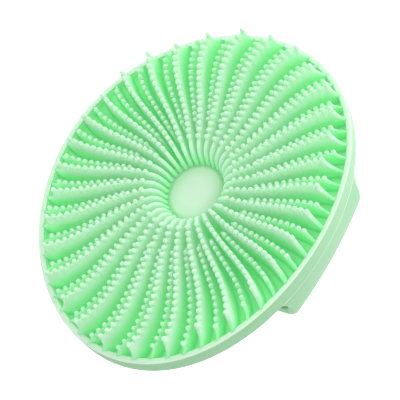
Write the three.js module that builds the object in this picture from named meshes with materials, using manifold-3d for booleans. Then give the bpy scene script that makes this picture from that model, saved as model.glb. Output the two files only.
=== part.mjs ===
// Scalp massager brush: an oval silicone pad with 32 long and 32 short curved fins on its face,
// and a wide elastic strap that arches over its back for the hand.
//
// Millimetres. +X runs along the pad's long axis, which is also the way the hand slides under the
// strap. +Y runs along the strap's arch. +Z points out of the finned face. The brush stands on the
// flat underside of the strap's crown at z = 0, and the origin is on that flat, below the middle of
// the pad.
import * as THREE from 'three';
import { mergeVertices } from 'three/addons/utils/BufferGeometryUtils.js';
import Module from 'manifold-3d';

const wasm = await Module();
wasm.setup();

// Pad outline and bend
const HALF_LENGTH = 61.7;
const HALF_WIDTH = 50.3;
const MEAN_RADIUS = (HALF_LENGTH + HALF_WIDTH) / 2;
const BEND_RISE = 7.7; // how far the pad's two strap sides curl up towards the face
const FACE_HEIGHT = 31; // rim top at the ends of the long axis, above the surface it stands on

// Rim and floor, measured down from the rim's top edge
const RIM_WIDTH = 2;
const RIM_SIDE = 6.7;
const RIM_ROUND = 0.4;
const POCKET_DEPTH = 2.8;
const FLOOR_THICKNESS = 2.2; // the side wall hangs below the floor as a skirt
const GAP = 0.3; // clearance kept between neighbouring regions of the moulding

// Smooth disc in the middle of the face
const DISC_RADIUS = 9.4;
const DISC_TOP = 0.3;
const DISC_ROUND = 0.5;

// Fins. Heights are above the rim's top edge and include the row of pins on the crest.
const FIN_COUNT = 32;
const FIN_PITCH = (2 * Math.PI) / FIN_COUNT;
const FIRST_FIN_ANGLE = THREE.MathUtils.degToRad(33.3);
const SWEEP = [0.318, 0.201, -0.78]; // swing in radians, by powers of the reach in mean radii
const FAN_STRETCH = 0.039; // the fan of fins is a little longer along X and narrower along Y
const LONG_FIN = {
  innerRadius: 9.8,
  firstPinRadius: 16.2,
  startHeight: 0.1,
  innerHeight: 9.5,
  outerHeight: 9.5,
  innerThickness: 1.1,
  rootThickness: 2,
  crestThickness: 1.5,
};
const SHORT_FIN = {
  innerRadius: 19.4,
  firstPinRadius: 23.6,
  startHeight: -2,
  innerHeight: 6.6,
  outerHeight: 4.7,
  innerThickness: 0.9,
  rootThickness: 1.8,
  crestThickness: 1.4,
};
const LAST_PIN_SHARE = 0.91; // last pin, as a share of the rim's radius in that direction
const LAST_PIN_EXTRA = 0.027; // the rows run further out towards the ends of the oval
const LAST_PIN_EXTRA_ANGLE = THREE.MathUtils.degToRad(10);
const FIN_END_GAP = 1;
const FIN_RISE_STEPS = 3;
const FIN_CREST_STEPS = 5;

// Strap
const STRAP_THICKNESS = 3.5;
const STRAP_OFFSET = 2.7; // the band sits a little off the pad's middle, along X
const ARCH_POWER = 2.8; // 2 would be an ellipse, more is squarer
const ARCH_FLAT = 0.5; // depth of the flat that the arch stands on
const CROWN_HALF_WIDTH = 19.9;
const ROOT_HALF_WIDTH = 22.6;
const ROOT_FLARE = 2.3;
const FLARE_DEPTH = 10;
const WALL_STRAIGHTENING = 0.5; // share of the rim's curve that the strap's wall loses
const STRAIGHTENING_DEPTH = 8;
const LEG_END = THREE.MathUtils.degToRad(61.5);
const CROWN_END = THREE.MathUtils.degToRad(62.1);

const RING_SEGMENTS = 64;
const DISC_SEGMENTS = 48;
const FLOOR_RINGS = 5;
const LEG_STEPS = 10;
const CROWN_STEPS = 16;
const ACROSS_STEPS = 8;

const silicone = (color) => new THREE.MeshStandardMaterial({ color, roughness: 0.45, metalness: 0 });

// ---------- closed bodies ----------

function signedVolume(geometry) {
  const corner = [0, 1, 2].map(() => new THREE.Vector3());
  const { index, attributes } = geometry;
  let volume = 0;
  for (let i = 0; i < index.count; i += 3) {
    corner.forEach((point, k) => point.fromBufferAttribute(attributes.position, index.getX(i + k)));
    volume += corner[0].dot(corner[1].clone().cross(corner[2])) / 6;
  }
  return volume;
}

// Merges shared corners and turns every face outwards.
function closedBody(geometry) {
  geometry.deleteAttribute('normal');
  geometry.deleteAttribute('uv');
  const merged = mergeVertices(geometry, 1e-4);
  if (signedVolume(merged) < 0) {
    merged.setIndex(Array.from(merged.index.array).reverse());
  }
  return merged;
}

// A body through a row of sections. Each section is a loop of points whose second half runs back
// along its first half, so that the two ends close as strips between the halves.
function loft(sections) {
  const count = sections[0].length;
  const last = (sections.length - 1) * count;
  const index = [];
  const quad = (a, b, c, d) => index.push(a, b, c, a, c, d);
  for (let start = 0; start < last; start += count) {
    for (let p = 0; p < count; p += 1) {
      const next = (p + 1) % count;
      quad(start + p, start + next, start + count + next, start + count + p);
    }
  }
  for (let p = 0; p < count / 2 - 1; p += 1) {
    const back = count - 1 - p;
    quad(back, back - 1, p + 1, p);
    quad(last + p, last + p + 1, last + back - 1, last + back);
  }
  const geometry = new THREE.BufferGeometry();
  const positions = sections.flat().flatMap((point) => point.toArray());
  geometry.setAttribute('position', new THREE.Float32BufferAttribute(positions, 3));
  geometry.setIndex(index);
  return closedBody(geometry);
}

function toSolid(geometry) {
  const vertProperties = Float32Array.from(geometry.attributes.position.array);
  const triVerts = Uint32Array.from(geometry.index.array);
  return new wasm.Manifold(new wasm.Mesh({ numProp: 3, vertProperties, triVerts }));
}

function fromSolid(solid) {
  const { vertProperties, triVerts } = solid.getMesh();
  const geometry = new THREE.BufferGeometry();
  geometry.setAttribute('position', new THREE.Float32BufferAttribute(vertProperties, 3));
  geometry.setIndex(Array.from(triVerts));
  return closedBody(geometry);
}

// ---------- the pad's outline and bend ----------

const bendLift = (y) => BEND_RISE * (y / HALF_WIDTH) ** 2;

// The rim's radius in the fan's own unstretched plan.
function rimRadius(angle) {
  const x = (Math.cos(angle) * (1 + FAN_STRETCH)) / HALF_LENGTH;
  const y = (Math.sin(angle) * (1 - FAN_STRETCH)) / HALF_WIDTH;
  return 1 / Math.hypot(x, y);
}

// A point on the bent pad, its height counted from the rim's top edge.
function padPoint(x, y, height) {
  return new THREE.Vector3(x, y, FACE_HEIGHT + bendLift(y) + height);
}

// Spins a profile of [radius, height] points, then stretches it to the oval and bends it.
function padLathe(profile, segments, stretchX, stretchY) {
  const points = profile.map(([radius, height]) => new THREE.Vector2(radius, height));
  const geometry = new THREE.LatheGeometry(points, segments);
  geometry.rotateX(Math.PI / 2);
  geometry.scale(stretchX, stretchY, 1);
  const { position } = geometry.attributes;
  for (let i = 0; i < position.count; i += 1) {
    const point = padPoint(position.getX(i), position.getY(i), position.getZ(i));
    position.setXYZ(i, point.x, point.y, point.z);
  }
  return closedBody(geometry);
}

const ovalLathe = (profile) => padLathe(
  profile,
  RING_SEGMENTS,
  HALF_LENGTH / MEAN_RADIUS,
  HALF_WIDTH / MEAN_RADIUS,
);

// ---------- rim, floor and disc ----------

// The raised lip and the thin side wall round the pad.
function rimBody() {
  const inner = MEAN_RADIUS - RIM_WIDTH;
  return ovalLathe([
    [inner, -RIM_SIDE],
    [MEAN_RADIUS - RIM_ROUND, -RIM_SIDE],
    [MEAN_RADIUS, -RIM_SIDE + RIM_ROUND],
    [MEAN_RADIUS, -RIM_ROUND],
    [MEAN_RADIUS - RIM_ROUND, 0],
    [inner + RIM_ROUND, 0],
    [inner, -RIM_ROUND],
    [inner, -RIM_SIDE],
  ]);
}

// The plate inside the rim.
function floorPlate() {
  const edge = MEAN_RADIUS - RIM_WIDTH - GAP;
  const radii = Array.from({ length: FLOOR_RINGS + 1 }, (_, i) => (edge * i) / FLOOR_RINGS);
  const back = radii.map((radius) => [radius, -POCKET_DEPTH - FLOOR_THICKNESS]);
  const top = radii.map((radius) => [radius, -POCKET_DEPTH]).reverse();
  return ovalLathe([...back, ...top]);
}

function discBody() {
  return padLathe([
    [0, -POCKET_DEPTH + GAP],
    [DISC_RADIUS, -POCKET_DEPTH + GAP],
    [DISC_RADIUS, DISC_TOP - DISC_ROUND],
    [DISC_RADIUS - DISC_ROUND, DISC_TOP],
    [0, DISC_TOP],
  ], DISC_SEGMENTS, 1 + FAN_STRETCH, 1 - FAN_STRETCH);
}

// ---------- fins ----------

// The direction of a fin at a radius: each fin swings round as it runs outwards.
function finAngle(slot, radius) {
  const reach = (radius - LONG_FIN.firstPinRadius) / MEAN_RADIUS;
  const swing = reach * (SWEEP[0] + reach * (SWEEP[1] + reach * SWEEP[2]));
  return FIRST_FIN_ANGLE + slot * FIN_PITCH + swing;
}

// The radii at the inner end, up the rise, along the crest and at the rim, each with its height.
function finStations(fin, slot) {
  const outward = finAngle(slot, MEAN_RADIUS);
  const rim = rimRadius(outward);
  const extra = LAST_PIN_EXTRA * Math.cos(2 * (outward - LAST_PIN_EXTRA_ANGLE));
  const lastPinRadius = (LAST_PIN_SHARE + extra) * rim;
  const stations = [];
  for (let i = 0; i < FIN_RISE_STEPS; i += 1) {
    const share = i / FIN_RISE_STEPS;
    const radius = THREE.MathUtils.lerp(fin.innerRadius, fin.firstPinRadius, share);
    const rise = THREE.MathUtils.smoothstep(share, 0, 1);
    const height = THREE.MathUtils.lerp(fin.startHeight, fin.innerHeight, rise);
    stations.push({ radius, height, thin: 1 - share });
  }
  for (let i = 0; i <= FIN_CREST_STEPS; i += 1) {
    const share = i / FIN_CREST_STEPS;
    const radius = THREE.MathUtils.lerp(fin.firstPinRadius, lastPinRadius, share);
    const height = THREE.MathUtils.lerp(fin.innerHeight, fin.outerHeight, share);
    stations.push({ radius, height, thin: 0 });
  }
  const end = rim * (1 - RIM_WIDTH / MEAN_RADIUS) - FIN_END_GAP;
  stations.push({ radius: end, height: -RIM_ROUND, thin: 0 });
  return stations;
}

// A wall along the fin's curve, standing on rootHeight, thinner at its crest than at its root.
function finBody(fin, slot, rootHeight) {
  const sections = finStations(fin, slot).map(({ radius, height, thin }) => {
    const angle = finAngle(slot, radius);
    const corner = (thickness, side, z) => {
      const half = THREE.MathUtils.lerp(thickness, fin.innerThickness, thin) / 2;
      const x = radius * Math.cos(angle) - side * half * Math.sin(angle);
      const y = radius * Math.sin(angle) + side * half * Math.cos(angle);
      return padPoint(x * (1 + FAN_STRETCH), y * (1 - FAN_STRETCH), z);
    };
    return [
      corner(fin.rootThickness, -1, rootHeight),
      corner(fin.crestThickness, -1, height),
      corner(fin.crestThickness, 1, height),
      corner(fin.rootThickness, 1, rootHeight),
    ];
  });
  return loft(sections);
}

// The floor with the short fins moulded on it, one midway between each pair of long fins.
function finnedFloor() {
  const sunk = -POCKET_DEPTH - GAP;
  let solid = toSolid(floorPlate());
  for (let i = 0; i < FIN_COUNT; i += 1) {
    solid = solid.add(toSolid(finBody(SHORT_FIN, i + 0.5, sunk)));
  }
  return fromSolid(solid);
}

// ---------- strap ----------

// A point of the arch. side is -1 or 1 for the two ends, turn runs from 0 at the rim to a quarter
// turn at the crown, across runs from -1 to 1 over the width, and inset is 0 on the outer face.
function archPoint(side, turn, across, inset) {
  const out = Math.cos(turn) ** (2 / ARCH_POWER);
  const down = Math.sin(turn) ** (2 / ARCH_POWER);
  const rootLevel = FACE_HEIGHT + BEND_RISE - RIM_SIDE - GAP;
  const depth = rootLevel * down;
  const flare = ROOT_FLARE * Math.max(0, 1 - depth / FLARE_DEPTH) ** 2;
  const halfWidth = THREE.MathUtils.lerp(CROWN_HALF_WIDTH, ROOT_HALF_WIDTH, out * out) + flare;
  const x = STRAP_OFFSET + across * halfWidth;
  const rimCurve = Math.sqrt(1 - (x / HALF_LENGTH) ** 2);
  const straight = Math.sqrt(1 - (halfWidth / 2 / HALF_LENGTH) ** 2);
  const mix = WALL_STRAIGHTENING * Math.min(1, depth / STRAIGHTENING_DEPTH);
  const reach = HALF_WIDTH * THREE.MathUtils.lerp(rimCurve, straight, mix) - inset;
  const top = FACE_HEIGHT + bendLift(reach) - RIM_SIDE - GAP;
  const bottom = inset - ARCH_FLAT;
  const z = THREE.MathUtils.lerp(top, bottom, down);
  return new THREE.Vector3(x, side * reach * out, Math.max(0, z));
}

// One cross-section of the band: over the outer face and back along the inner one.
function bandSection(side, turn) {
  const outer = [];
  const inner = [];
  for (let i = 0; i <= ACROSS_STEPS; i += 1) {
    const across = -1 + (2 * i) / ACROSS_STEPS;
    outer.push(archPoint(side, turn, across, 0));
    inner.unshift(archPoint(side, turn, across, STRAP_THICKNESS));
  }
  return [...outer, ...inner];
}

function legBody(side) {
  const turns = Array.from({ length: LEG_STEPS + 1 }, (_, i) => (LEG_END * i) / LEG_STEPS);
  return loft(turns.map((turn) => bandSection(side, turn)));
}

function crownBody() {
  const sections = [];
  for (let i = 0; i <= CROWN_STEPS; i += 1) {
    const turn = THREE.MathUtils.lerp(CROWN_END, Math.PI - CROWN_END, i / CROWN_STEPS);
    const side = turn <= Math.PI / 2 ? -1 : 1;
    sections.push(bandSection(side, side < 0 ? turn : Math.PI - turn));
  }
  return loft(sections);
}

// ---------- assembly ----------

function mesh(name, geometry, color) {
  const made = new THREE.Mesh(geometry, silicone(color));
  made.name = name;
  made.geometry.computeVertexNormals();
  return made;
}

const MINT = 0xbff0c4;
const MINT_DEEP = 0x8fe09a;
const MINT_SHADE = 0xa8dcb0;

const pad = new THREE.Group();
pad.add(mesh('rim', rimBody(), MINT));
pad.add(mesh('fin_floor', finnedFloor(), MINT_DEEP));
pad.add(mesh('centre_disc', discBody(), MINT));
for (let i = 0; i < FIN_COUNT; i += 1) {
  const name = `long_fin_${String(i + 1).padStart(2, '0')}`;
  pad.add(mesh(name, finBody(LONG_FIN, i, -POCKET_DEPTH + GAP), MINT));
}

const strap = new THREE.Group();
strap.add(mesh('strap_leg_front', legBody(-1), MINT_SHADE));
strap.add(mesh('strap_leg_back', legBody(1), MINT_SHADE));
strap.add(mesh('strap_crown', crownBody(), MINT_SHADE));

const brush = new THREE.Group();
brush.add(pad, strap);

export default brush;
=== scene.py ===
"""Looks for the silicone scalp massager brush: pad tray, pinned fins and hand strap.

Geometry is worked out in millimetres and turned into metres when a mesh is made. Places and
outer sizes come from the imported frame. The camera, the lights and the floor are in metres.
"""
import math

import bmesh
import bpy
import numpy as np
from mathutils import Matrix, Vector


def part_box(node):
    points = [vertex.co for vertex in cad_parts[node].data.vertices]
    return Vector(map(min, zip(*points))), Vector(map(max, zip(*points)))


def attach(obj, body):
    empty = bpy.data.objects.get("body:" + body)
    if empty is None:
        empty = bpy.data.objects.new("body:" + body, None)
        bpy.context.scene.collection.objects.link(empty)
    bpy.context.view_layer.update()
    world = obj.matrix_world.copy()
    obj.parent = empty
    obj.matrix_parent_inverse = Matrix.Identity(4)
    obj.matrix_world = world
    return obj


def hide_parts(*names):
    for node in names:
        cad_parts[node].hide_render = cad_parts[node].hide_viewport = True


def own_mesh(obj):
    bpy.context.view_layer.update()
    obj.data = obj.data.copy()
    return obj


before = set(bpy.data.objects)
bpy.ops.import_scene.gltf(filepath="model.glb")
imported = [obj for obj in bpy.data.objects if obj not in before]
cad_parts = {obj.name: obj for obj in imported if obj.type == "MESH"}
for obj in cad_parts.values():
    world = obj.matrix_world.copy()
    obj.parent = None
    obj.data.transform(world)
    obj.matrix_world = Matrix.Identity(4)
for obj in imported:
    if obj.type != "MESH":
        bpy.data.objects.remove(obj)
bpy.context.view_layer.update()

# ---------- sizes from the frame ----------


def box_mm(node):
    """A node's lowest and highest corner in millimetres."""
    low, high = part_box(node)
    return np.array(low) * 1000, np.array(high) * 1000


rim_low, rim_high = box_mm("rim")
leg_low, leg_high = box_mm("strap_leg_front")

RIM_SIDE = 6.7
HALF_LENGTH = rim_high[0]
HALF_WIDTH = rim_high[1]
MEAN_RADIUS = (HALF_LENGTH + HALF_WIDTH) / 2
FACE_HEIGHT = rim_low[2] + RIM_SIDE
BEND_RISE = rim_high[2] - FACE_HEIGHT
ARCH_HEIGHT = FACE_HEIGHT + BEND_RISE - RIM_SIDE

# ---------- tray ----------

# Heights on the pad count from the rim's top edge, so what lies below it is negative.
TRAY_SEGMENTS = 240
RIM_WIDTH = 2.0
POCKET_DEPTH = 2.8
FLOOR_THICKNESS = 2.2
POCKET_FILLET = 0.7
LIP_INNER_ROUND = 0.45
LIP_OUTER_ROUND = 0.5
SIDE_MARGIN = 0.3
SKIRT_ROUND = 0.2
BACK_FILLET = 0.8

# The disc is nearly flat out to DISC_FLAT and falls to the floor at DISC_FOOT. DISC_CROWN gives
# the slight rise of its middle, as radius and height.
DISC_TOP = 0.3
DISC_FLAT = 8.2
DISC_FOOT = 15.5
DISC_CROWN = ((0, 0.1), (2.5, 0.09), (5, 0.05))
OVAL_BLEND = 34.0

# ---------- fins and pins ----------

# SWEEP holds the cubic by which a fin swings aside on its way from the first pin outwards.
FIN_COUNT = 32
FIN_PITCH = 2 * math.pi / FIN_COUNT
FIRST_FIN_ANGLE = math.radians(33.3)
SWEEP = (0.318, 0.201, -0.78)
FAN_STRETCH = 0.039

PIN_PITCH = 2.32
PIN_STAND = 1.8
PIN_SINK = 1.4
PIN_SIDES = 14
PIN_DOME_RINGS = 4
PIN_FOOT_SHARE = 0.9
PIN_ROOT_SHARE = 1.04
DOME_MARGIN = 0.35

# The last pin of a row stands at this share of the rim's radius or just inside it.
LAST_PIN_SHARE = 0.928
LAST_PIN_EXTRA = 0.027
LAST_PIN_EXTRA_ANGLE = math.radians(10)
LAST_PIN_REGION = 0.9

# A fin's crest climbs from its inner end to the first pin, follows the feet of the pins, and
# drops into the rim. The fin is thinner at both ends.
RAMP_STOP = 1.2
RISE_POWER = 2.5
SOFT_START = 0.28
DROP_START = 0.6
DROP_POWER = 2.3
FIN_END_HEIGHT = -0.05
END_UNDER_RIM = 0.4
THIN_OVERRUN = 3.0
END_THINNING = 0.8
FOOT_FILLET = 0.55
FILLET_THINNING = 0.7
FIN_SINK = 0.6
LEAST_SIDE = 0.05

LONG_FIN = {
    "inner": 9.5,
    "first_pin": 16.2,
    "start_height": -0.3,
    "tip_in": 9.5,
    "tip_out": 9.5,
    "pin_radius": 0.81,
    "crest": 0.66,
    "root": 1.0,
    "inner_half": 0.6,
}
SHORT_FIN = {
    "inner": 19.0,
    "first_pin": 23.6,
    "start_height": -2.4,
    "tip_in": 6.6,
    "tip_out": 4.7,
    "pin_radius": 0.77,
    "crest": 0.55,
    "root": 0.85,
    "inner_half": 0.45,
}

# ---------- strap ----------

# The arch is half a squared oval. Its band is widest and flared at the rim, with round edges.
STRAP_THICKNESS = 3.5
STRAP_OFFSET = (leg_low[0] + leg_high[0]) / 2
ARCH_POWER = 2.8
ARCH_FLAT = 0.5
CROWN_HALF_WIDTH = 19.9
ROOT_HALF_WIDTH = 22.6
ROOT_FLARE = (leg_high[0] - leg_low[0]) / 2 - ROOT_HALF_WIDTH
FLARE_DEPTH = 10.0
EDGE_ROUND = 1.3
EDGE_START = 1 - EDGE_ROUND / ROOT_HALF_WIDTH
SQUARE_DEPTH = 3.5
WALL_STRAIGHTENING = 0.5
STRAIGHTENING_DEPTH = 8.0

# SEAM_TURNS are close stations where the band meets the side wall, as angles along the arch.
SEAM_BEAD = 0.05
SEAM_TUCK = 0.1
SEAM_FADE = 0.03
SEAM_OVERLAP = 0.15
# How far below the wall the seam's painted highlight reaches, in millimetres:
SEAM_HIGHLIGHT_DEPTH = 0.45
SEAM_TURNS = (0, 0.0006, 0.0024, 0.004, 0.012)
ARCH_TURN_START = 0.025

# ---------- colours, over the level stored in each point: painted shade and light ---

# Painted shade: the side wall, the back and the strap take a darker colour of the same silicone.
SHADED_SIDE_LEVEL = 0.85
SHADED_SIDE = (0.40, 0.74, 0.44)
# Painted shade by depth: deep, saturated green low in the pockets, lighter up the fins to painted
# light at the tips, the disc and the lip.
PAD_SHADE_STOPS = {
    0.0: (0.20, 0.86, 0.30),
    0.3: (0.35, 0.92, 0.43),
    0.7: (0.59, 0.94, 0.65),
    1.0: (0.62, 0.95, 0.67),
}
# Emission as painted light, lifting the painted shade in the deep pockets, on the band's thin edges
# and along its seam.
PAD_PAINTED_LIGHT = {
    0.0: (0.05, 0.12, 0.075),
    0.3: (0.06, 0.10, 0.075),
    0.7: (0.07, 0.055, 0.075),
    1.0: (0.02, 0.01, 0.02),
}
TRAY_SHADE_STOPS = {**PAD_SHADE_STOPS, SHADED_SIDE_LEVEL: SHADED_SIDE, 1.0: (0.72, 0.94, 0.74)}
TRAY_PAINTED_LIGHT = {**PAD_PAINTED_LIGHT, SHADED_SIDE_LEVEL: (0.0, 0.01, 0.0)}
# The strap: painted shade over the band, and a painted highlight at level 1 along the seam.
STRAP_SHADE_STOPS = {0.0: SHADED_SIDE, 0.6: SHADED_SIDE, 1.0: (0.58, 0.90, 0.62)}
STRAP_PAINTED_LIGHT = {
    0.0: (0.06, 0.10, 0.065),
    0.5: (0.0, 0.0, 0.0),
    0.7: (0.0, 0.0, 0.0),
    1.0: (0.12, 0.14, 0.12),
}

# Where the painted shade and light change: DISC_LIMIT and OPEN_FLOOR in shares of the rim's radius,
# LIP and RING in millimetres, EDGE_LIGHT in the sideways part of the surface's normal. RING paints
# shade on the disc's shoulder, OPEN_FLOOR paints less shade on the open floor near the rim, and LIP
# paints the lip's top light.
DISC_LIMIT = 0.5
LIP_DEPTH = 0.3
RING_SHADE = 0.12
RING_START = DISC_FLAT - 1.5
RING_WIDTH = 3.5
OPEN_FLOOR_LEVEL = 0.25
OPEN_FLOOR_START = 0.55
OPEN_FLOOR_BLEND = 0.35
BAND_LEVEL = 0.5
EDGE_LIGHT_START = 0.3
EDGE_LIGHT_BLEND = 0.5

# ---------- light and camera ----------

WORLD_LEVEL = 0.85
WORLD_SLOPE = 0.78
LAMP_SIZE = 0.5
KEY_POWER = 0.55
FILL_POWER = 1.7
LAMP_TARGET = Vector((0, 0, 0.03))
FLOOR_SIZE = 3.0
FLOOR_GAP = 0.0005

# The first three are degrees, described in camera_axes.
TILT = 31.42
NORMAL_DIRECTION = 124.93
LONG_AXIS_TURN = 27.13
CAMERA_DISTANCE = 0.460
LENS = 125.5
TARGET_DROP = 0.00245
TARGET_RIGHT = 0.0013


# ---------- mesh helpers ----------


def make_piece(name, points, faces, sharp_degrees=45):
    """A mesh object from points in millimetres, smooth except across edges over sharp_degrees."""
    mesh = bpy.data.meshes.new(name)
    mesh.from_pydata((np.asarray(points, float) / 1000).tolist(), [], faces)
    mesh.validate()
    piece = bpy.data.objects.new(name, mesh)
    bpy.context.scene.collection.objects.link(piece)
    clean_mesh(mesh, sharp_degrees)
    return piece


def clean_mesh(mesh, sharp_degrees):
    work = bmesh.new()
    work.from_mesh(mesh)
    bmesh.ops.remove_doubles(work, verts=work.verts, dist=1e-7)
    bmesh.ops.recalc_face_normals(work, faces=work.faces)
    work.to_mesh(mesh)
    work.free()
    mesh.shade_smooth()
    mesh.set_sharp_from_angle(angle=math.radians(sharp_degrees))


def ring_faces(rows, count, start=0):
    """Faces between rows of closed loops of count points. start is the first point's number."""
    faces = []
    for row in range(rows - 1):
        a = start + row * count
        b = a + count
        for p in range(count):
            q = (p + 1) % count
            faces.append((a + p, a + q, b + q, b + p))
    return faces


def loft_faces(rows, count):
    """Faces over rows of closed loops of count points, with both ends capped."""
    first_cap = tuple(reversed(range(count)))
    last_cap = tuple(range((rows - 1) * count, rows * count))
    return ring_faces(rows, count) + [first_cap, last_cap]


def smooth_step(value):
    t = np.clip(value, 0, 1)
    return t * t * (3 - 2 * t)


# ---------- the pad's outline and bend ----------


def bend_lift(y):
    """How far the trough-shaped bend lifts the pad at a distance y from its long middle line."""
    return BEND_RISE * (y / HALF_WIDTH) ** 2


def rim_radius(angle):
    """The rim's radius in the fan's own unstretched plan."""
    x = math.cos(angle) * (1 + FAN_STRETCH) / HALF_LENGTH
    y = math.sin(angle) * (1 - FAN_STRETCH) / HALF_WIDTH
    return 1 / math.hypot(x, y)


def fan_path(radius, angle):
    """Plan position of a point of the fan, which is stretched a little along the pad."""
    x = radius * np.cos(angle) * (1 + FAN_STRETCH)
    y = radius * np.sin(angle) * (1 - FAN_STRETCH)
    return np.stack([x, y], axis=-1)


def pad_points(x, y, height):
    """Points of the bent pad, their heights counted from the rim's top edge."""
    return np.stack([x, y, FACE_HEIGHT + bend_lift(y) + height], axis=-1)


def fin_angle(slot, radius):
    """Angle of a fin at radius. Whole slots are long fins, and half slots the short ones between."""
    reach = (np.asarray(radius, float) - LONG_FIN["first_pin"]) / MEAN_RADIUS
    swing = reach * (SWEEP[0] + reach * (SWEEP[1] + reach * SWEEP[2]))
    return FIRST_FIN_ANGLE + slot * FIN_PITCH + swing


# ---------- tray: disc, floor, rim and back ----------


def arc(centre, radius, start, end, steps):
    """Points of an arc between two angles in degrees."""
    turns = np.radians(np.linspace(start, end, steps))
    return [(centre[0] + radius * math.cos(t), centre[1] + radius * math.sin(t)) for t in turns]


def face_profile(inner):
    """The tray's section over the disc and the pocket floor, out to the rim's inner side."""
    profile = [(radius, DISC_TOP + crown) for radius, crown in DISC_CROWN]
    for share in np.linspace(0, 1, 16):
        radius = DISC_FLAT + (DISC_FOOT - DISC_FLAT) * share
        profile.append((radius, DISC_TOP - (DISC_TOP + POCKET_DEPTH) * smooth_step(share)))
    for radius in np.linspace(DISC_FOOT + 2, inner - 2, 20):
        profile.append((radius, -POCKET_DEPTH))
    foot = (inner - POCKET_FILLET, -POCKET_DEPTH + POCKET_FILLET)
    return profile + arc(foot, POCKET_FILLET, -90, 0, 5)


def rim_profile(inner, back):
    """The tray's section over the lip, down the side wall and up the skirt's inner side."""
    inner_lip = (inner + LIP_INNER_ROUND, -LIP_INNER_ROUND)
    outer_lip = (MEAN_RADIUS - LIP_OUTER_ROUND, -LIP_OUTER_ROUND)
    skirt = (inner + SKIRT_ROUND, -RIM_SIDE + SKIRT_ROUND)
    corner = (inner - BACK_FILLET, back - BACK_FILLET)
    side_levels = (-LIP_OUTER_ROUND - SIDE_MARGIN, -RIM_SIDE / 2, -RIM_SIDE + SIDE_MARGIN, -RIM_SIDE)
    profile = arc(inner_lip, LIP_INNER_ROUND, 180, 90, 5)
    profile += arc(outer_lip, LIP_OUTER_ROUND, 90, 0, 6)
    profile += [(MEAN_RADIUS, level) for level in side_levels]
    profile += arc(skirt, SKIRT_ROUND, -90, -180, 4)
    return profile + arc(corner, BACK_FILLET, 0, 90, 5)


def tray_profile():
    """Half section from the middle of the face, over the rim, to the middle of the back."""
    inner = MEAN_RADIUS - RIM_WIDTH
    back = -POCKET_DEPTH - FLOOR_THICKNESS
    underside = [(inner * share, back) for share in np.linspace(0.94, 0, 16)]
    return face_profile(inner) + rim_profile(inner, back) + underside


def make_tray():
    """The section turned round the middle. Its plan goes from the fan's oval to the rim's."""
    profile = np.array(tray_profile())
    turns = np.arange(TRAY_SEGMENTS) * 2 * math.pi / TRAY_SEGMENTS
    radius = profile[:, 0][:, None]
    oval = smooth_step((radius - DISC_FOOT) / OVAL_BLEND)
    long_share, wide_share = 1 + FAN_STRETCH, 1 - FAN_STRETCH
    x = radius * np.cos(turns) * (long_share + (HALF_LENGTH / MEAN_RADIUS - long_share) * oval)
    y = radius * np.sin(turns) * (wide_share + (HALF_WIDTH / MEAN_RADIUS - wide_share) * oval)
    height = np.repeat(profile[:, 1][:, None], TRAY_SEGMENTS, axis=1)
    points = pad_points(x, y, height).reshape(-1, 3)
    return make_piece("pad_tray", points, ring_faces(len(profile), TRAY_SEGMENTS), 60)


# ---------- fins with their pins ----------


def last_pin_limit(slot):
    """The radius that the pins of a row don't pass, a little farther out at the pad's long ends."""
    angle = fin_angle(slot, MEAN_RADIUS * LAST_PIN_REGION)
    share = LAST_PIN_SHARE + LAST_PIN_EXTRA * math.cos(2 * (angle - LAST_PIN_EXTRA_ANGLE))
    return share * rim_radius(angle)


def pin_radii(fin, slot):
    """The radii of a row's evenly spaced pins."""
    count = int((last_pin_limit(slot) - fin["first_pin"]) / PIN_PITCH) + 1
    return fin["first_pin"] + PIN_PITCH * np.arange(count)


def tip_height(fin, radius):
    share = (radius - fin["first_pin"]) / (MEAN_RADIUS - fin["first_pin"])
    return fin["tip_in"] + (fin["tip_out"] - fin["tip_in"]) * share


def crest_stations(fin, slot):
    """Radius, crest height and thinning along a fin: inner ramp, pinned crest, drop to the rim."""
    last_pin = pin_radii(fin, slot)[-1]
    ramp = fin["first_pin"] - fin["inner"]
    drop_start = last_pin + fin["pin_radius"] * DROP_START
    end = rim_radius(fin_angle(slot, MEAN_RADIUS)) - RIM_WIDTH * END_UNDER_RIM
    radii = np.concatenate([
        np.linspace(fin["inner"], fin["first_pin"] - 1, 16),
        np.linspace(fin["first_pin"], drop_start, 30),
        np.linspace(last_pin + fin["pin_radius"], end, 12),
    ])
    climb = np.clip((radii - fin["inner"]) / (ramp - RAMP_STOP), 0, 1)
    rise = (1 - (1 - climb) ** RISE_POWER) * smooth_step(climb / SOFT_START)
    shoulder = tip_height(fin, radii) - PIN_STAND
    height = fin["start_height"] + (shoulder - fin["start_height"]) * rise
    drop = np.clip((radii - drop_start) / (end - drop_start), 0, 1)
    height += (FIN_END_HEIGHT - height) * (1 - (1 - drop) ** DROP_POWER)
    thin = 1 - smooth_step((radii - fin["inner"]) / (ramp + THIN_OVERRUN))
    return radii, height, np.maximum(thin, END_THINNING * drop)


def fin_section(fin, height, thin):
    """Half section as (half width, height) from the root's fillet to the middle of the crest."""
    crest = fin["crest"] + (fin["inner_half"] - fin["crest"]) * thin
    root = fin["root"] + (fin["inner_half"] - fin["root"]) * thin
    fillet = FOOT_FILLET * (1 - FILLET_THINNING * thin)
    floor = -POCKET_DEPTH
    top = max(height - crest, floor + fillet + LEAST_SIDE)
    rows = [
        (root + fillet, floor - FIN_SINK),
        (root + fillet, floor),
        (root + 0.3 * fillet, floor + 0.3 * fillet),
        (root, floor + fillet),
        ((root + crest) / 2, (floor + fillet + top) / 2),
    ]
    round_top = np.radians([0, 25, 50, 72, 90])
    return rows + [(crest * math.cos(t), top + crest * math.sin(t)) for t in round_top]


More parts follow.
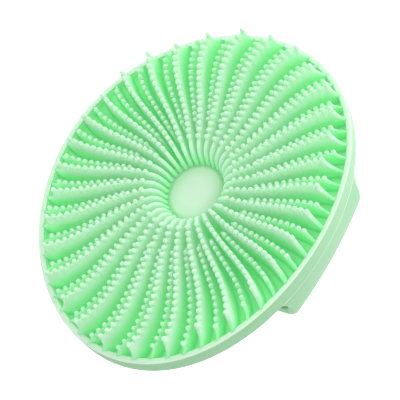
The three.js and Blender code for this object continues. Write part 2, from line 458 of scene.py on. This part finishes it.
def make_wall(name, fin, slot):
    """One fin without its pins: the section swept along the fin's curved path."""
    radii, heights, thins = crest_stations(fin, slot)
    path = fan_path(radii, fin_angle(slot, radii))
    along = np.gradient(path, axis=0)
    along /= np.linalg.norm(along, axis=1)[:, None]
    across = np.stack([-along[:, 1], along[:, 0]], axis=-1)
    points = []
    for centre, side, height, thin in zip(path, across, heights, thins):
        rows = fin_section(fin, height, thin)
        loop = rows + [(-half, level) for half, level in reversed(rows[:-1])]
        for half, level in loop:
            x, y = centre + side * half
            points.append(pad_points(x, y, level))
    return make_piece(name, points, loft_faces(len(radii), len(loop)))


def pin_rings(size):
    """A pin's rings as (radius, height over the tip), from the sunk foot to the dome."""
    shaft = [
        (size * PIN_FOOT_SHARE, -PIN_STAND - PIN_SINK),
        (size * PIN_ROOT_SHARE, -PIN_STAND),
        (size, -size - DOME_MARGIN),
    ]
    dome = np.radians(np.linspace(0, 90, PIN_DOME_RINGS + 1)[:-1])
    return shaft + [(size * math.cos(t), -size + size * math.sin(t)) for t in dome]


def make_pins(fin, slot):
    """The row of round-tipped pins of one fin, sunk into the crest."""
    points, faces = [], []
    turns = np.arange(PIN_SIDES) * 2 * math.pi / PIN_SIDES
    rings = pin_rings(fin["pin_radius"])
    for radius in pin_radii(fin, slot):
        x, y = fan_path(radius, fin_angle(slot, radius))
        tip = FACE_HEIGHT + bend_lift(y) + tip_height(fin, radius)
        start = len(points)
        for ring, level in rings:
            points += [(x + ring * math.cos(t), y + ring * math.sin(t), tip + level) for t in turns]
        top = len(points)
        points.append((x, y, tip))
        last = top - PIN_SIDES
        faces += ring_faces(len(rings), PIN_SIDES, start)
        faces += [(last + p, last + (p + 1) % PIN_SIDES, top) for p in range(PIN_SIDES)]
        faces.append(tuple(start + p for p in reversed(range(PIN_SIDES))))
    return make_piece("pins", points, faces)


def unite(piece, other):
    """Joins other into piece as one closed body and removes other."""
    union = piece.modifiers.new("union", "BOOLEAN")
    union.operation = "UNION"
    union.solver = "MANIFOLD"
    union.object = other
    depsgraph = bpy.context.evaluated_depsgraph_get()
    joined = bpy.data.meshes.new_from_object(piece.evaluated_get(depsgraph))
    piece.modifiers.clear()
    piece.data = joined
    bpy.data.objects.remove(other)
    clean_mesh(joined, 45)


def make_fin(name, fin, slot):
    """A fin's wall and its pins as one piece."""
    wall = make_wall(name, fin, slot)
    unite(wall, make_pins(fin, slot))
    return wall


# ---------- strap ----------


def square_share(x_share, depth):
    """The share of the half width, with the band's round edges turned square towards the rim."""
    if abs(x_share) > EDGE_START:
        square = 1 - smooth_step(depth / SQUARE_DEPTH)
        x_share += math.copysign((1 - abs(x_share)) * square, x_share)
    return x_share


def wall_reach(x, half, depth):
    """How far the band's outer face is from the middle line: the rim's curve, straighter below."""
    rim_curve = math.sqrt(1 - (x / HALF_LENGTH) ** 2)
    straight = math.sqrt(1 - (half / 2 / HALF_LENGTH) ** 2)
    mix = WALL_STRAIGHTENING * min(1.0, depth / STRAIGHTENING_DEPTH)
    return HALF_WIDTH * (rim_curve + (straight - rim_curve) * mix)


def arch_point(side, turn, x_share, inset, push):
    """A point of the strap's arch. turn is 0 at the rim and a quarter turn under the middle, inset
    counts from the outer face into the band, and push stands the seam's bead out of the wall."""
    out = math.cos(turn) ** (2 / ARCH_POWER) if turn < math.pi / 2 - 1e-9 else 0.0
    down = math.sin(turn) ** (2 / ARCH_POWER)
    depth = ARCH_HEIGHT * down
    flare = ROOT_FLARE * max(0.0, 1 - depth / FLARE_DEPTH) ** 2
    half = CROWN_HALF_WIDTH + (ROOT_HALF_WIDTH - CROWN_HALF_WIDTH) * out * out + flare
    x = STRAP_OFFSET + square_share(x_share, depth) * half
    reach = wall_reach(x, half, depth) - inset + push
    top = FACE_HEIGHT + bend_lift(reach) - RIM_SIDE + SEAM_OVERLAP
    bottom = inset - ARCH_FLAT
    return x, side * reach * out, max(0.0, top + (bottom - top) * down)


def band_loop():
    """One loop round the band's section as (share of the half width, share of the thickness)."""
    flat = np.linspace(-1, 1, 25)[1:-1] * EDGE_START
    side_turns = np.radians(np.linspace(-90, 90, 11))
    edge_width = 1 - EDGE_START
    edge = [(EDGE_START + edge_width * math.cos(t), 0.5 + 0.5 * math.sin(t)) for t in side_turns]
    half_loop = [(share, 0.0) for share in flat] + edge
    return half_loop + [(-x_share, 1 - depth_share) for x_share, depth_share in half_loop]


def make_strap():
    """The band from rim to rim, with a low bead at each seam and its ends tucked into the wall."""
    loop = band_loop()
    quarter = np.concatenate([SEAM_TURNS, np.linspace(ARCH_TURN_START, math.pi / 2, 34)])
    stations = [(-1, turn) for turn in quarter] + [(1, turn) for turn in quarter[-2::-1]]
    points = []
    for side, turn in stations:
        proud = SEAM_BEAD * max(0.0, 1 - turn / SEAM_FADE) if turn > 0 else -SEAM_TUCK
        for x_share, depth_share in loop:
            inset = STRAP_THICKNESS * depth_share
            points.append(arch_point(side, turn, x_share, inset, proud * (1 - depth_share)))
    return make_piece("strap_band", points, loft_faces(len(stations), len(loop)), 60)


# ---------- material ----------


def add_node(tree, kind, **values):
    node = tree.nodes.new(kind)
    for key, value in values.items():
        setattr(node, key, value)
    return node


def add_ramp(tree, factor, stops):
    """A colour ramp over factor. stops gives a colour for each place, 0 and 1 among them."""
    ramp = add_node(tree, "ShaderNodeValToRGB")
    elements = ramp.color_ramp.elements
    for place in sorted(stops)[1:-1]:
        elements.new(place)
    for element, place in zip(elements, sorted(stops)):
        element.color = (*stops[place], 1)
    tree.links.new(factor, ramp.inputs["Fac"])
    return ramp.outputs["Color"]


def add_noise(tree, place, scale, detail):
    noise = add_node(tree, "ShaderNodeTexNoise")
    noise.inputs["Scale"].default_value = scale
    noise.inputs["Detail"].default_value = detail
    tree.links.new(place, noise.inputs["Vector"])
    return noise.outputs["Fac"]


def add_tint(tree, place, colour):
    """colour with faint soft clouds."""
    tint = add_node(tree, "ShaderNodeMix", data_type="RGBA", blend_type="MULTIPLY")
    tint.inputs["Factor"].default_value = 0.06
    tree.links.new(colour, tint.inputs["A"])
    tree.links.new(add_noise(tree, place, 60, 3), tint.inputs["B"])
    return tint.outputs["Result"]


def add_grain(tree, place):
    """A fine moulded grain."""
    bump = add_node(tree, "ShaderNodeBump")
    bump.inputs["Strength"].default_value = 0.12
    bump.inputs["Distance"].default_value = 0.00005
    tree.links.new(add_noise(tree, place, 2600, 4), bump.inputs["Height"])
    return bump.outputs["Normal"]


def silicone_material(name, stops, painted_light):
    """Translucent satin silicone, coloured by the level stored in each point, which paints shade
    deep in the pockets and light on the high parts. The emission is painted light, standing for
    light that reaches the deep pockets and the band's edges through the silicone."""
    material = bpy.data.materials.new(name)
    material.use_nodes = True
    tree = material.node_tree
    shader = tree.nodes["Principled BSDF"]
    shader.inputs["Roughness"].default_value = 0.6
    shader.inputs["IOR"].default_value = 1.41
    shader.inputs["Specular IOR Level"].default_value = 0.2
    shader.inputs["Subsurface Weight"].default_value = 1.0
    shader.inputs["Subsurface Radius"].default_value = (0.9, 1.0, 0.92)
    shader.inputs["Subsurface Scale"].default_value = 0.0012
    shader.inputs["Emission Strength"].default_value = 1.0
    level = add_node(tree, "ShaderNodeAttribute", attribute_name="level").outputs["Fac"]
    place = add_node(tree, "ShaderNodeTexCoord").outputs["Object"]
    colour = add_tint(tree, place, add_ramp(tree, level, stops))
    tree.links.new(colour, shader.inputs["Base Color"])
    tree.links.new(add_ramp(tree, level, painted_light), shader.inputs["Emission Color"])
    tree.links.new(add_grain(tree, place), shader.inputs["Normal"])
    return material


# ---------- levels of painted shade and light ---


def pad_coordinates(piece):
    """Each point's share of the oval's radius and its height over the bent rim level."""
    points = np.array([v.co for v in piece.data.vertices], float) * 1000
    share = np.hypot(points[:, 0] / HALF_LENGTH, points[:, 1] / HALF_WIDTH)
    return share, points[:, 2] - FACE_HEIGHT - bend_lift(points[:, 1])


def store_level(piece, level):
    attribute = piece.data.attributes.new("level", "FLOAT", "POINT")
    attribute.data.foreach_set("value", np.clip(level, 0, 1).astype(np.float32))


def paint_fin(fin):
    """Painted shade: deep at the floor, light at the tips of the long fins."""
    height = pad_coordinates(fin)[1]
    store_level(fin, (height + POCKET_DEPTH) / (LONG_FIN["tip_in"] + POCKET_DEPTH))


def paint_tray(tray):
    """Painted shade: deep on the pocket floor, light on the disc and the lip, darker on the side and
    back.
    """
    share, height = pad_coordinates(tray)
    over_floor = height + POCKET_DEPTH
    disc = np.sqrt(np.clip(over_floor / (DISC_TOP + POCKET_DEPTH), 0, 1))
    disc *= 1 - RING_SHADE * smooth_step((share * MEAN_RADIUS - RING_START) / RING_WIDTH)
    open_floor = OPEN_FLOOR_LEVEL * smooth_step((share - OPEN_FLOOR_START) / OPEN_FLOOR_BLEND)
    face = np.where(share < DISC_LIMIT, disc, np.maximum(open_floor, over_floor / POCKET_DEPTH))
    inside_lip = share < 1 - RIM_WIDTH / MEAN_RADIUS + 0.002
    on_face = (height > -POCKET_DEPTH - 0.5) & inside_lip
    store_level(tray, np.where(on_face, face, np.where(height > -LIP_DEPTH, 1.0, SHADED_SIDE_LEVEL)))


def paint_strap(strap):
    """A painted highlight as a fine lighter line at the seams, and painted light on the thin edges
    where the band would be in shade.
    """
    height = pad_coordinates(strap)[1]
    sideways = np.array([abs(v.normal.x) for v in strap.data.vertices])
    level = BAND_LEVEL * (1 - smooth_step((sideways - EDGE_LIGHT_START) / EDGE_LIGHT_BLEND))
    store_level(strap, np.where(height > -RIM_SIDE - SEAM_HIGHLIGHT_DEPTH, 1.0, level))


# ---------- build the brush ----------


def finish_piece(piece, material, body, slot, *nodes):
    piece.data.materials.clear()
    piece.data.materials.append(material)
    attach(piece, body)
    if nodes:
        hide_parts(*nodes)


fin_silicone = silicone_material("mint_silicone_fins", PAD_SHADE_STOPS, PAD_PAINTED_LIGHT)
tray_silicone = silicone_material("mint_silicone_tray", TRAY_SHADE_STOPS, TRAY_PAINTED_LIGHT)
strap_silicone = silicone_material("mint_silicone_strap", STRAP_SHADE_STOPS, STRAP_PAINTED_LIGHT)

tray = make_tray()
paint_tray(tray)
finish_piece(tray, tray_silicone, "pad", "floor_silicone", "rim", "fin_floor", "centre_disc")

for index in range(FIN_COUNT):
    node = f"long_fin_{index + 1:02d}"
    long_fin = make_fin(f"pinned_long_fin_{index + 1:02d}", LONG_FIN, index)
    paint_fin(long_fin)
    finish_piece(long_fin, fin_silicone, "pad", "pad_silicone", node)
    short_fin = make_fin(f"pinned_short_fin_{index + 1:02d}", SHORT_FIN, index + 0.5)
    paint_fin(short_fin)
    finish_piece(short_fin, fin_silicone, "pad", "floor_silicone")

strap = make_strap()
paint_strap(strap)
strap_nodes = ("strap_leg_front", "strap_leg_back", "strap_crown")
finish_piece(strap, strap_silicone, "pad", "strap_silicone", *strap_nodes)
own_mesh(strap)

# ---------- stage, light and camera ----------


def make_floor():
    bpy.ops.mesh.primitive_plane_add(size=FLOOR_SIZE, location=(0, 0, -FLOOR_GAP))
    floor = bpy.context.object
    floor.name = "floor"
    material = bpy.data.materials.new("pale_floor")
    material.use_nodes = True
    shader = material.node_tree.nodes["Principled BSDF"]
    shader.inputs["Base Color"].default_value = (0.9, 0.9, 0.9, 1)
    shader.inputs["Roughness"].default_value = 0.9
    shader.inputs["Emission Color"].default_value = (1, 1, 1, 1)
    shader.inputs["Emission Strength"].default_value = 0.75
    floor.data.materials.append(material)
    floor.visible_diffuse = False


def make_area(name, place, power):
    light = bpy.data.lights.new(name, "AREA")
    light.size = LAMP_SIZE
    light.energy = power
    lamp = bpy.data.objects.new(name, light)
    bpy.context.scene.collection.objects.link(lamp)
    lamp.location = place
    lamp.rotation_euler = (LAMP_TARGET - place).to_track_quat("-Z", "Y").to_euler()


def make_world(bright_side):
    """A soft white surround, brighter towards bright_side, in front of a plain white backdrop."""
    world = bpy.data.worlds.new("studio")
    world.use_nodes = True
    tree = world.node_tree
    background = tree.nodes["Background"]
    background.inputs["Color"].default_value = (1, 1, 1, 1)
    direction = add_node(tree, "ShaderNodeTexCoord")
    along = add_node(tree, "ShaderNodeVectorMath", operation="DOT_PRODUCT")
    along.inputs[1].default_value = bright_side
    strength = add_node(tree, "ShaderNodeMath", operation="MULTIPLY_ADD")
    strength.inputs[1].default_value = WORLD_SLOPE
    strength.inputs[2].default_value = WORLD_LEVEL
    rays = add_node(tree, "ShaderNodeLightPath")
    backdrop = add_node(tree, "ShaderNodeMix")
    backdrop.inputs["B"].default_value = 1.0
    tree.links.new(direction.outputs["Generated"], along.inputs[0])
    tree.links.new(along.outputs["Value"], strength.inputs[0])
    tree.links.new(rays.outputs["Is Camera Ray"], backdrop.inputs["Factor"])
    tree.links.new(strength.outputs["Value"], backdrop.inputs["A"])
    tree.links.new(backdrop.outputs["Result"], background.inputs["Strength"])
    bpy.context.scene.world = world


def camera_axes():
    """The camera's right, up and back. The face's normal leans by TILT from its back axis,
    towards NORMAL_DIRECTION in the picture. The pad is turned by LONG_AXIS_TURN in its plane."""
    tilt, heading, turn = (math.radians(a) for a in (TILT, NORMAL_DIRECTION, LONG_AXIS_TURN))
    lean = math.sin(tilt)
    normal = Vector((lean * math.cos(heading), lean * math.sin(heading), math.cos(tilt)))
    level = Vector((math.sin(heading), -math.cos(heading), 0))
    steep = normal.cross(level)
    long_axis = math.cos(turn) * level + math.sin(turn) * steep
    short_axis = -math.sin(turn) * level + math.cos(turn) * steep
    to_part = Matrix((long_axis, short_axis, normal))
    return [to_part @ Vector(axis) for axis in ((1, 0, 0), (0, 1, 0), (0, 0, 1))]


def make_camera(right, up, back):
    middle = Vector((0, 0, FACE_HEIGHT / 1000))
    place = middle + back * CAMERA_DISTANCE
    aim = (place - (middle - up * TARGET_DROP + right * TARGET_RIGHT)).normalized()
    side = up.cross(aim).normalized()
    camera = bpy.data.objects.new("camera", bpy.data.cameras.new("camera"))
    bpy.context.scene.collection.objects.link(camera)
    camera.data.lens = LENS
    camera.data.sensor_width = 36
    turned = Matrix((side, aim.cross(side), aim)).transposed()
    camera.matrix_world = Matrix.Translation(place) @ turned.to_4x4()
    bpy.context.scene.camera = camera


right, up, back = camera_axes()
make_floor()
make_world(0.7 * right + 0.71 * up)
make_area("key", -0.25 * right + 0.55 * up + 0.55 * back, KEY_POWER)
make_area("fill", -0.5 * right - 0.5 * up + 0.3 * back, FILL_POWER)
bpy.context.scene.view_settings.view_transform = "Standard"
make_camera(right, up, back)
